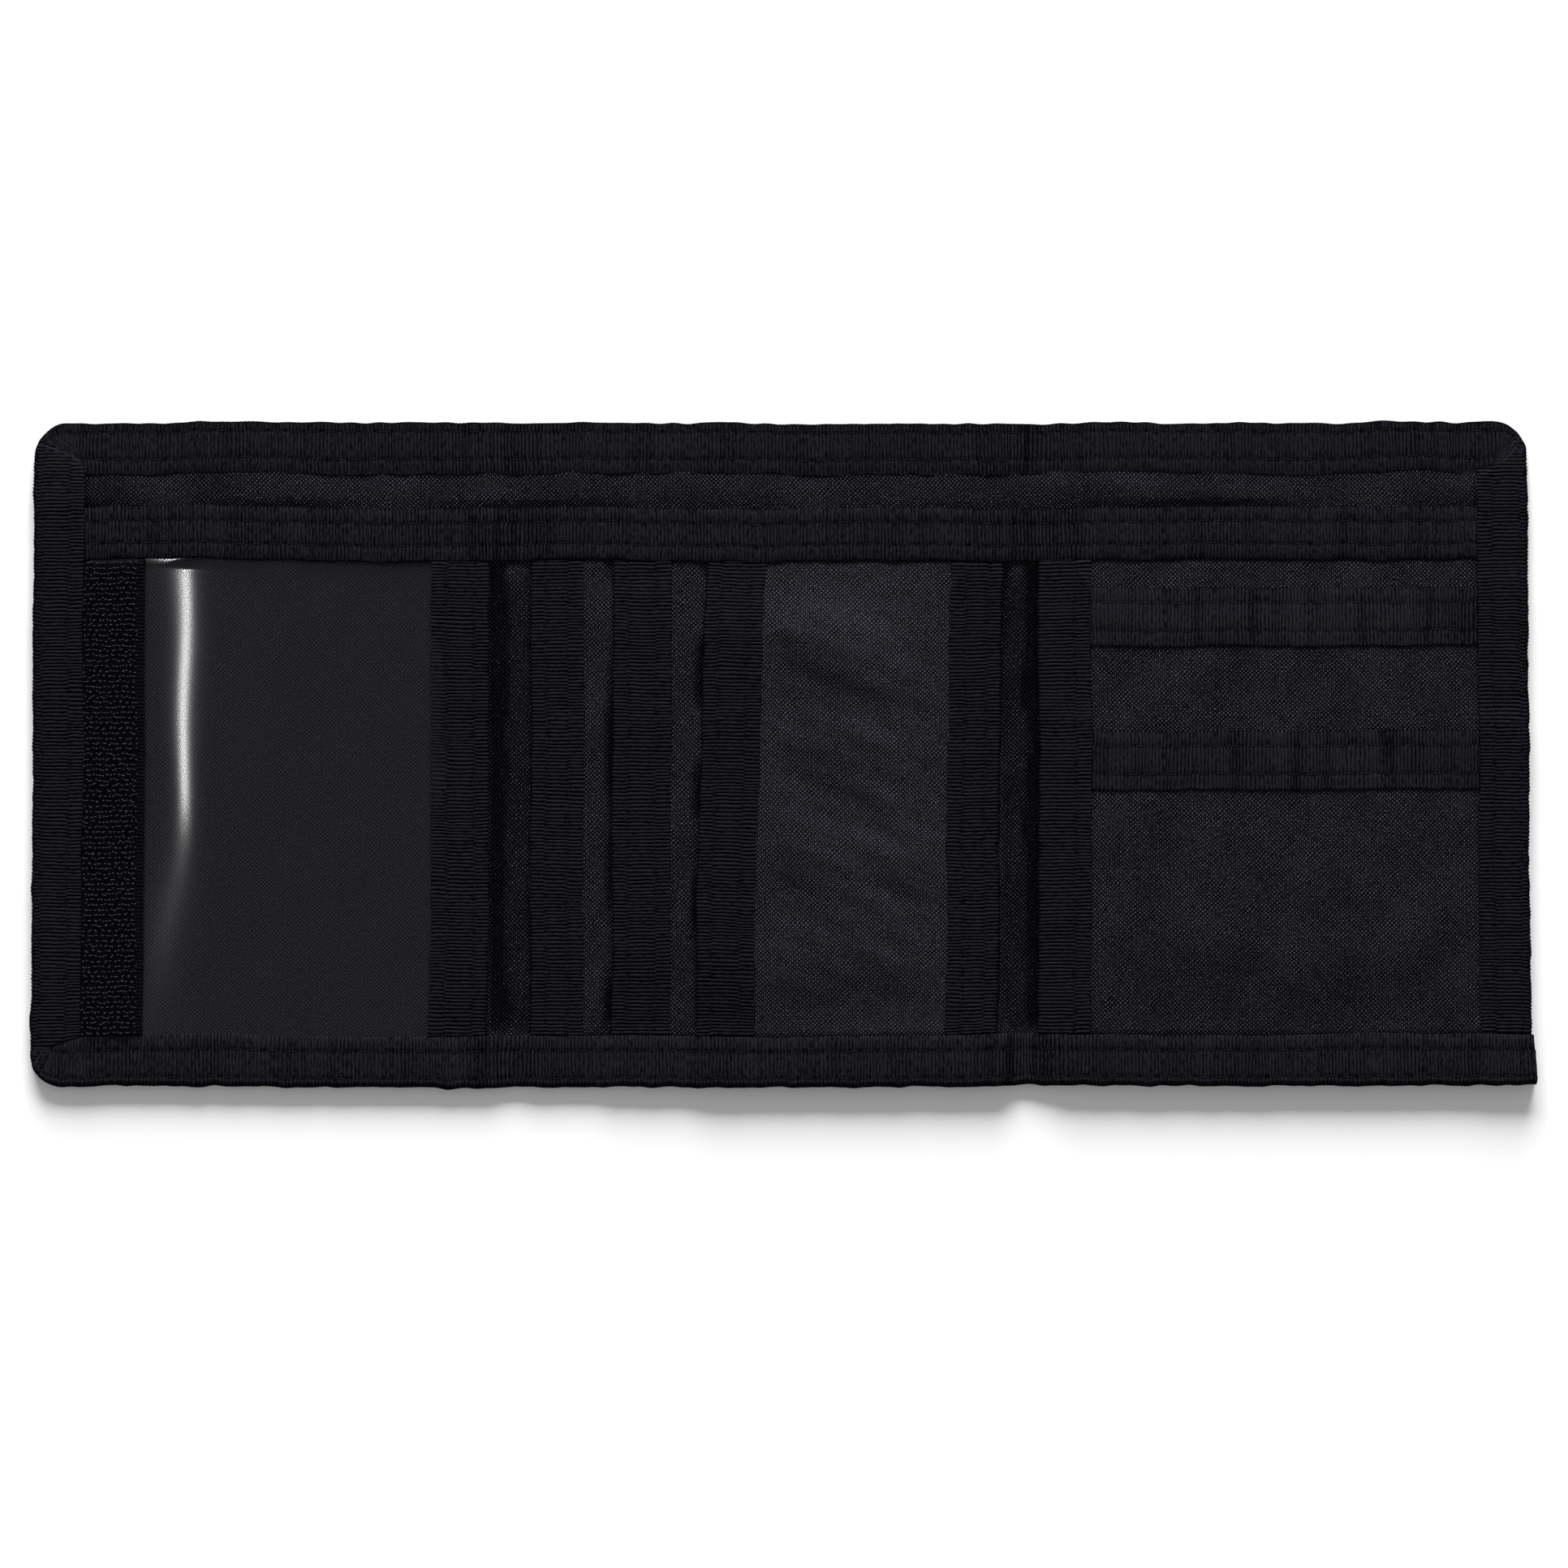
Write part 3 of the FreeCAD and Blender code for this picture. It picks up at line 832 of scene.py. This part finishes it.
top_tape = edge_tape(from_top, tape_level, 3, crisp=0.0)
bottom_tape = edge_tape(from_bottom, bottom_top, 17, crisp=0.0)
left_tape = edge_tape(from_left, side_level, 29)
right_tape = edge_tape(from_right, side_level, 37)


def divider_place(u, s):
    return u, DIVIDER_TOP - s + sewn_line(u, 77) + 0.4 * s / DIVIDER_WIDTH * waver(u, 79)


def divider_top(x, y):
    raised = stack_above(x, 40 + 0 * y) * seam_share(x)
    ends = tucked(x, 0 * y)
    return DIVIDER_Z + raised + 0.45 - 1.2 * ends + 0.06 * ripple(x, y, 9, 33)


def divider_bottom(x, y):
    return DIVIDER_Z - 0.38 + 0 * x


looks = {"radius": 0.7, "crisp": 0.0}
rows = two_rows(DIVIDER_WIDTH)
divider_tape = Tape(DIVIDER_WIDTH, divider_place, divider_top, divider_bottom, rows, 45, **looks)
LAPPED_END = 0.7  # how far the edge tape's cut end sticks out at the lower right corner
DIVIDER_TUCK = 1.4  # how far the divider's tape reaches under the end tapes


def add_tape(tape, name, start, end, where, *nodes, **ends):
    attach(tape.build(name, start, end, **ends), where, "ribbed_tape", *nodes)


def both_sides(tape, start, end, **ends):
    """The stitches above and below an edge tape."""
    return [tape.stitches(start, end, under, **ends) for under in (False, True)]


def add_running_tapes():
    """The tapes that run through both folds, each in four quarters, with their stitches."""
    at_left, at_right, at_low = x_on(UPPER_LEFT), x_on(UPPER_RIGHT), x_on(LOWER_LEFT)
    for number, (start, end, *_) in enumerate(QUARTERS):
        first, last = number == 0, number == 3
        u0, u1 = max(start, EDGE_LEFT), min(end, EDGE_RIGHT)
        top = {"edge_low": at_left if first else None, "edge_high": at_right if last else None}
        low = {"edge_low": at_low if first else None, "cap": last}
        u2 = min(end, EDGE_RIGHT + LAPPED_END)
        u3, u4 = max(start, IN_LEFT - DIVIDER_TUCK), min(end, IN_RIGHT + DIVIDER_TUCK)
        plan = [
            ("top_edge_tape", "top_edge_binding", top_tape, u0, u1, top),
            ("bottom_edge_tape", "bottom_edge_binding", bottom_tape, u0, u2, low),
            ("divider_tape", "cash_divider_binding", divider_tape, u3, u4, {}),
        ]
        for stem, node, tape, a, b, ends in plan:
            add_tape(tape, f"{stem}_{number + 1}", a, b, number, *quarter_nodes(node, number), **ends)
        sewn = both_sides(top_tape, u0, u1, low=at_left, high=at_right)
        sewn += both_sides(bottom_tape, u0, u1, low=at_low)
        sewn.append(divider_tape.stitches(max(start, IN_LEFT), min(end, IN_RIGHT)))
        nodes = [[], ["sewing_thread_left_spine"], ["sewing_thread_right_spine"], []][number]
        add_thread(f"edge_stitching_{number + 1}", sewn, number, *nodes)


def add_thread(name, sewn, where, *nodes):
    attach(thread(name, np.concatenate(sewn), thread_black), where, "sewing_thread", *nodes)


def add_side_tapes():
    ends = {"edge_low": y_on(LOWER_LEFT), "edge_high": y_on(UPPER_LEFT), "tuck_low": 0.9, "tuck_high": 0.9}
    add_tape(left_tape, "left_edge_tape", EDGE_BOTTOM, EDGE_TOP, "left_flap", "left_edge_binding", **ends)
    ends = {"edge_low": straight_across, "edge_high": y_on(UPPER_RIGHT), "tuck_low": 1.2, "tuck_high": 0.9}
    low = EDGE_BOTTOM + 2
    add_tape(right_tape, "right_edge_tape", low, EDGE_TOP, "right_flap", "right_edge_binding", **ends)


# ---------------- cloths that run through the folds


def half_height(x, inset, sign):
    """The outline's upper or lower edge less an inset, with its rounded corners."""
    x = np.clip(x, EDGE_LEFT + inset, EDGE_RIGHT - inset)
    return sign * (EDGE_TOP - inset - corner_drop(x, sign))


def lining_shade(x, y):
    """Painted shade where the lining goes down into the note compartment's open mouth, times a slow random
    change of tone.
    """
    near = ramp(DIVIDER_TOP + 2.2 - y, 1.4) * (0.4 + 0.5 * ripple(x, 0 * y, 60, 86))
    return (1 + 0.14 * ripple(x, y, 22, 87)) * (1 - np.clip(near, 0.0, 0.6))


def cloth_wave(x, y):
    return 0.05 * ripple(x, y, 14, 81) * ramp(EDGE_TOP - np.abs(y), 6)


def shell_height(x, y):
    return SHELL_Z + 0.3 * cloth_wave(x, y)


def lining_height(x, y):
    """The lining has one long soft fold above the divider."""
    centre = 50.6 + 0.8 * ripple(x, 0 * y, 70, 83)
    fold = 0.22 * bump(y, centre, 1.2) * (0.5 + 0.5 * ripple(x, 0 * y, 45, 84))
    fold = fold + 0.16 * ripple(x, y, 24, 85) * bump(y, 50.4, 3)
    return LINING_Z + cloth_wave(x, y) * 0.5 + np.maximum(fold, -0.05)


def divider_height(x, y):
    return layer(x, y, DIVIDER_Z) + 0.5 * cloth_wave(x, y)


def add_running_cloths():
    """The shell, lining and divider in four quarters each. Returns each piece with its width and height."""
    shell, lining = (shell_black, shell_height, None), (lining_black, lining_height, lining_shade)
    divider = (cloth_black, divider_height, painted_shade_and_tone)
    # stem, slot, material, height and tone, thickness, inset, size of the quads, upper edge
    plan = [
        ("outer_shell", "shell_cloth", shell, 0.35, 0.3, 1.1, EDGE_TOP),
        ("shell_lining", "lining_cloth", lining, CLOTH, 0.35, 0.9, EDGE_TOP),
        ("cash_divider", "pocket_cloth", divider, CLOTH, 0.35, 0.9, DIVIDER_TOP - 0.4),
    ]
    made = []
    for stem, slot, (material, height, dark), thickness, inset, size, top in plan:

        def low_edge(x, inset=inset):
            return half_height(x, inset, -1)

        def high_edge(x, inset=inset, top=top):
            return np.minimum(half_height(x, inset, 1), top)

        for number, (start, end, *_) in enumerate(QUARTERS):
            x0, x1 = max(start, EDGE_LEFT + inset), min(end, EDGE_RIGHT - inset)
            name = f"{stem}_{number + 1}"
            xs = steps(x0, x1, size)
            piece = slab(name, xs, low_edge, high_edge, height, thickness, material, size, dark=dark)
            attach(piece, number, slot, *quarter_nodes(stem, number))
            made.append((piece, x1 - x0, EDGE_TOP - inset + min(top, EDGE_TOP - inset)))
    return made


# ---------------- pockets

UNDER_SLIP = SLIP_TAPE[1] + 0.5  # where the card slots go down under the slip pocket's tape


def on_cloth(level):
    """Top of a tape on the cloth at that level."""
    return lambda x, y: layer(x, y, level) + BACKING


def pocket_tape(width, place, height, bottom, rows, seed, **looks):
    """A tape whose underside, without a bottom of its own, is TAPE_DEPTH below its top."""
    bottom = bottom or (lambda x, y: height(x, y) - TAPE_DEPTH)
    return Tape(width, place, height, bottom, rows, seed, **looks)


def upright_tape(left, right, fold_left, top, rows, seed, bottom=None, radius=0.6, shift=0.0):
    """A tape along Y, folded over its left or right edge."""

    def place(u, s):
        edge = waver(u, seed + 60) + 0.2 * ripple(u, 0 * u, 40, seed + 62) + lean(u, shift)
        return (left + s + edge, u) if fold_left else (right - s + edge, u)

    def height(x, y):
        return top(x, y) - tucked(x, y)

    return pocket_tape(right - left, place, height, bottom, rows, seed, radius=radius)


def level_tape(low, high, level, rows, seed):
    """A tape along X folded over the upper edge of a slot."""
    top = on_cloth(level)

    def place(u, s):
        return u, high - s + waver(u, seed + 60)

    def height(x, y):
        return top(x, y) - tucked(x, y) - 0.5 * ramp(UNDER_SLIP - x, 0.8)

    return pocket_tape(high - low, place, height, None, rows, seed, radius=0.6, crisp=0.35, patchy=0.2)


def pocket_cloth(name, left, right, top, level, turn, dark=painted_shade_and_tone, shift=0.0):
    """A pocket's cloth, with its width and height."""
    on_slip = left > RIGHT_CUT + 5

    def height(x, y):
        return layer(x, y, level) - tucked(x, y) - 0.5 * ramp(UNDER_SLIP - x, 0.8) * on_slip

    def slide(x, y):
        return lean(y, shift) * ramp(left + 14 - x, 12)

    xs = steps(left, right, CLOTH_STEP)
    low_edge, high_edge = straight(POCKET_LOW), straight(top)
    looks = {"shift": (3.1 * turn, 1.7 * turn), "dark": dark, "slide": slide}
    piece = slab(name, xs, low_edge, high_edge, height, CLOTH, cloth_black, CLOTH_STEP, **looks)
    return piece, right - left, top - POCKET_LOW


def window_tape_top(x, y):
    edge = ramp(x - WINDOW_TAPE[0], 6) * ramp(DIVIDER_LOW - y, 8)
    return 2.55 + 0.45 * edge * ramp(y - IN_BOTTOM, 8) + 0.05 * ripple(x, y, 12, 35)


def slip_tape_top(x, y):
    """The slip pocket's tape lies over the left edges of the card slots."""
    inner = ramp(x - SLIP_TAPE[0] - 2, 6.5)
    stack = DIVIDER_Z + stack_above(SLIP_TAPE[1] + 3 + 0 * x, y) * seam_share(x) + 0.38
    outer = DIVIDER_Z + 1.25 + 0.3 * ramp(DIVIDER_LOW - y, 10) * ramp(y - IN_BOTTOM, 10)
    return outer + (np.maximum(stack, outer) - outer) * inner + 0.05 * ripple(x, y, 12, 36)


def end_bottom(x, y):
    return DIVIDER_Z + 0.12 + spine_dip(x, y) - 0.5 * tucked(x, y)


def add_pocket_tape(tape, name, body, node):
    add_tape(tape, name, POCKET_LOW, POCKET_TOP, body, node)
    return tape.stitches(IN_BOTTOM, DIVIDER_LOW)


def add_left_pocket():
    """The window pocket's tape, and the left flap's thread."""
    rows = two_rows(WINDOW_TAPE[1] - WINDOW_TAPE[0])
    tape = upright_tape(*WINDOW_TAPE, False, window_tape_top, rows, 101, shift=-0.6)
    ends = {"low": y_on(LOWER_LEFT), "high": y_on(UPPER_LEFT)}
    sewn = [add_pocket_tape(tape, "window_tape", "left_flap", "window_edge_binding")]
    sewn += both_sides(left_tape, EDGE_BOTTOM, EDGE_TOP, **ends)
    add_thread("left_flap_stitching", sewn, "left_flap", "sewing_thread_left_flap")


def add_card_pockets():
    """The middle's three card pockets and the tape at their closed end. Returns the cloths."""
    sewn = []
    cloths = []
    for n, (left, right) in enumerate(MOUTHS):
        label, level = n + 1, POCKET_LEVELS[n]
        rows = two_rows(right - left)
        tape = upright_tape(left, right, True, on_cloth(level), rows, 111 + 7 * n, shift=LEANS[n])
        name, node = f"card_pocket_tape_{label}", f"card_pocket_binding_{label}"
        sewn.append(add_pocket_tape(tape, name, "middle", node))
        dark = plain_shade if n == 2 else painted_shade_and_tone
        x0, x1 = left + 0.5, END_TAPE[1] - 2.2
        cloth = pocket_cloth(f"card_pocket_cloth_{label}", x0, x1, POCKET_TOP, level, n, dark, LEANS[n])
        attach(cloth[0], "middle", "pocket_cloth", f"card_pocket_{label}")
        cloths.append(cloth)
    rows = two_rows(END_TAPE[1] - END_TAPE[0])
    top = on_cloth(POCKET_LEVELS[2])
    tape = upright_tape(*END_TAPE, False, top, rows, 141, bottom=end_bottom, radius=0.8, shift=-1.0)
    sewn.append(add_pocket_tape(tape, "pocket_end_tape", "middle", "pocket_end_binding"))
    add_thread("pocket_stitching", sewn, "middle", "sewing_thread_middle")
    return cloths


def add_right_pockets():
    """The right flap's slip pocket and card slots, and the flap's thread. Returns the cloths."""
    right = IN_RIGHT + HEM
    left, level = SLIP_TAPE[0] + 0.5, top_of("slip_pocket")
    cloth = pocket_cloth("slip_pocket_cloth", left, right, POCKET_TOP, level, 4)
    attach(cloth[0], "right_flap", "pocket_cloth", "slip_pocket")
    cloths = [cloth]
    rows = (SLIP_TAPE[1] - SLIP_TAPE[0] - SEAM,)
    tape = upright_tape(*SLIP_TAPE, True, slip_tape_top, rows, 151, radius=0.7)
    sewn = [add_pocket_tape(tape, "slip_pocket_tape", "right_flap", "slip_pocket_binding")]
    for n, (bottom, top) in enumerate(SLOT_TAPES):
        label = n + 1
        level = top_of(f"card_slot_{label}")
        tape = level_tape(bottom, top, level, two_rows(top - bottom), 161 + 9 * n)
        name, node = f"card_slot_tape_{label}", f"card_slot_binding_{label}"
        add_tape(tape, name, SLIP_TAPE[1] - 0.8, right, "right_flap", node)
        sewn.append(tape.stitches(SLIP_TAPE[1] + 0.3, IN_RIGHT))
        cloth = pocket_cloth(f"card_slot_cloth_{label}", SLIP_TAPE[1] - 0.7, right, top - 0.5, level, 6 + n)
        attach(cloth[0], "right_flap", "pocket_cloth", f"card_slot_{label}")
        cloths.append(cloth)
    sewn += both_sides(right_tape, IN_BOTTOM, EDGE_TOP, high=y_on(UPPER_RIGHT))
    add_thread("right_flap_stitching", sewn, "right_flap", "sewing_thread_right_flap")
    return cloths


# ---------------- window and closure


def film_height(x, y):
    """The vinyl rises steeply from the hook strip, rolls over and sags towards its tape."""
    hook_right = span("hook_tape", X)[1]
    loose = 0.33 + 0.67 * ramp(y - IN_BOTTOM + 20, 77) * ramp(DIVIDER_LOW + 2.5 - y, 5)
    run = np.clip((x - hook_right) / 14, -0.12, 1)
    rise = 1.05 * (2 * run - run**2)
    near_seam = 0.38 * (1 - ramp(DIVIDER_LOW - y, 22))
    bend = 0.56  # the part of the run that the upper seam holds down
    rise = rise - near_seam * 1.05 * np.where(run < bend, 2 * bend * run - run**2, bend**2)
    sag = 0.45 * ramp(x - hook_right - 14, 38)
    wave = 0.05 * loose * ripple(x, y, 26, 91, turn=0.4) - 0.26 * (1 - ramp(DIVIDER_LOW - y, 2.6))
    return 1.85 + loose * (rise - sag) + wave - 0.3 * ramp(x - WINDOW_TAPE[0] - 2, 3)


def add_window():
    """The window's film, with its width and height."""
    left, right = IN_LEFT - HEM, WINDOW_TAPE[1] - 0.8
    low_edge, high_edge = straight(POCKET_LOW), straight(POCKET_TOP)
    xs = steps(left, right, CLOTH_STEP)
    piece = slab("window_film", xs, low_edge, high_edge, film_height, 0.2, vinyl, CLOTH_STEP)
    attach(piece, "left_flap", "clear_film", "id_window")
    return [(piece, right - left, POCKET_TOP - POCKET_LOW)]


# outline of a hook, as far out and up
HOOK_SHAPE = [(0.0, 0.0), (0.02, 0.45), (0.06, 0.8), (0.2, 1.0), (0.38, 0.92), (0.46, 0.7), (0.44, 0.5)]


def add_hook_tape():
    """The hook strip has a ribbed selvedge on its right and rows of single hooks."""
    left, right = span("hook_tape", X)
    selvedge = right - 1.3

    def height(x, y):
        woven_edge = ramp(x - selvedge, 0.3)
        rows = 0.10 * np.sin(2 * math.pi * y / RIB)
        ground = 2.42 + 0.35 * ramp(x - left, 2) - tucked(x, y)
        return ground + woven_edge * (rows - 0.05) + 0.04 * ripple(x, y, 10, 93)

    xs = np.concatenate([steps(left - 1, selvedge, 0.7), steps(selvedge + 0.2, right, 0.25)])
    low_edge, high_edge = straight(IN_BOTTOM - 1), straight(DIVIDER_LOW + 1)
    piece = slab("hook_strip", xs, low_edge, high_edge, height, 0.6, hook_ground, 0.17)
    attach(piece, "left_flap", "hook_strip", "hook_tape")

    rng = np.random.default_rng(7)
    columns = np.arange(left + 0.5, selvedge, 0.62)
    rows = np.arange(IN_BOTTOM + 0.5, DIVIDER_LOW - 0.5, 0.98)
    across, along = np.meshgrid(columns, rows)
    across = across + rng.normal(0, 0.07, across.shape)
    along = along + rng.normal(0, 0.09, along.shape) + 0.05 * np.sin(across)
    x, y = across.ravel(), along.ravel()
    tilt = rng.normal(0, 0.22, len(x))
    side = np.where(rng.random(len(x)) < 0.5, -1, 1)
    tall = rng.uniform(0.62, 0.85, len(x))
    ends = []
    for out, up in HOOK_SHAPE:
        hook_x = x + side * out * 0.85 + tilt * up * 0.3
        ends.append(np.stack([hook_x, y + 0.35 * tilt * up, height(x, y) + up * tall], -1))
    piece = thread("closure_hooks", np.stack(ends, 1), nylon_hook, radius=0.11, sides=5)
    attach(piece, "left_flap", "hook_strip")


def add_loop_tape():
    """The loop strip on the outside of the right flap, with its pile of small loops."""
    (x0, x1), (y0, y1) = span("loop_tape", X), span("loop_tape", Y)
    xs = steps(x0, x1, CLOTH_STEP)
    piece = slab(
        "loop_strip", xs, straight(y0), straight(y1), lambda x, y: 0.30 + 0 * x, 0.14, loop_pile, CLOTH_STEP
    )
    attach(piece, "right_flap", "loop_strip", "loop_tape")
    rng = np.random.default_rng(8)
    count = 4200
    x, y = rng.uniform(x0 + 0.3, x1 - 0.3, count), rng.uniform(y0 + 0.3, y1 - 0.3, count)
    turn = rng.uniform(0, math.pi, count)
    wide = rng.uniform(0.25, 0.5, count)
    ends = []
    for t in np.linspace(-1, 1, 7):
        drop = 0.15 * (1 - t * t) * rng.uniform(0.8, 1.0, count)
        ends.append(np.stack([x + wide * t * np.cos(turn), y + wide * t * np.sin(turn), 0.19 - drop], -1))
    piece = thread("closure_loops", np.stack(ends, 1), loop_pile, radius=0.035, sides=3)
    attach(piece, "right_flap", "loop_strip")


add_running_tapes()
add_side_tapes()
sheets = add_running_cloths()
add_left_pocket()
sheets += add_card_pockets() + add_right_pockets() + add_window()
add_hook_tape()
add_loop_tape()

# ---------------- floor, light and camera

floor_finish = plain("pale_floor", (0.90, 0.90, 0.90, 1), 0.9, 0.1)
bpy.ops.mesh.primitive_plane_add(size=6, location=(0, 0, -0.0002))
floor = bpy.context.object
floor.name = "floor"
floor.data.materials.append(floor_finish)


def add_area_light(name, place, turn, size, power, diffuse=True):
    light = bpy.data.lights.new(name, "AREA")
    light.shape = "RECTANGLE"
    light.size, light.size_y = size
    light.energy = power
    lamp = bpy.data.objects.new(name, light)
    lamp.location = place
    lamp.rotation_euler = turn
    lamp.visible_diffuse = diffuse
    bpy.context.scene.collection.objects.link(lamp)


KEY_BACK, KEY_UP = 3.3, 1.35  # a large soft light behind the wallet, which gives the shadow in front of it
key_turn = (-math.atan2(KEY_BACK, KEY_UP), 0, 0)
add_area_light("key", (0, KEY_BACK, KEY_UP), key_turn, (2.4, 1.6), 318)
# a narrow light that only shows as the white streak in the window's film
add_area_light("strip", (-0.383, 0.215, 1.2), (0, -0.2237, 0), (0.038, 0.5), 5.6, diffuse=False)

world = bpy.data.worlds.new("studio")
bpy.context.scene.world = world
world.use_nodes = True
background = world.node_tree.nodes["Background"]
background.inputs["Color"].default_value = (1, 1, 1, 1)
background.inputs["Strength"].default_value = 0.38

FRAME_WIDTH = 0.2972  # width of the photo at the wallet, in metres
DISTANCE = 1.2
camera_data = bpy.data.cameras.new("camera")
camera_data.sensor_width = 36
camera_data.lens = 36 * DISTANCE / FRAME_WIDTH
camera = bpy.data.objects.new("camera", camera_data)
camera.location = (0.0002, -0.0055, DISTANCE + 0.002)
bpy.context.scene.collection.objects.link(camera)
bpy.context.scene.camera = camera
bpy.context.scene.view_settings.view_transform = "Standard"
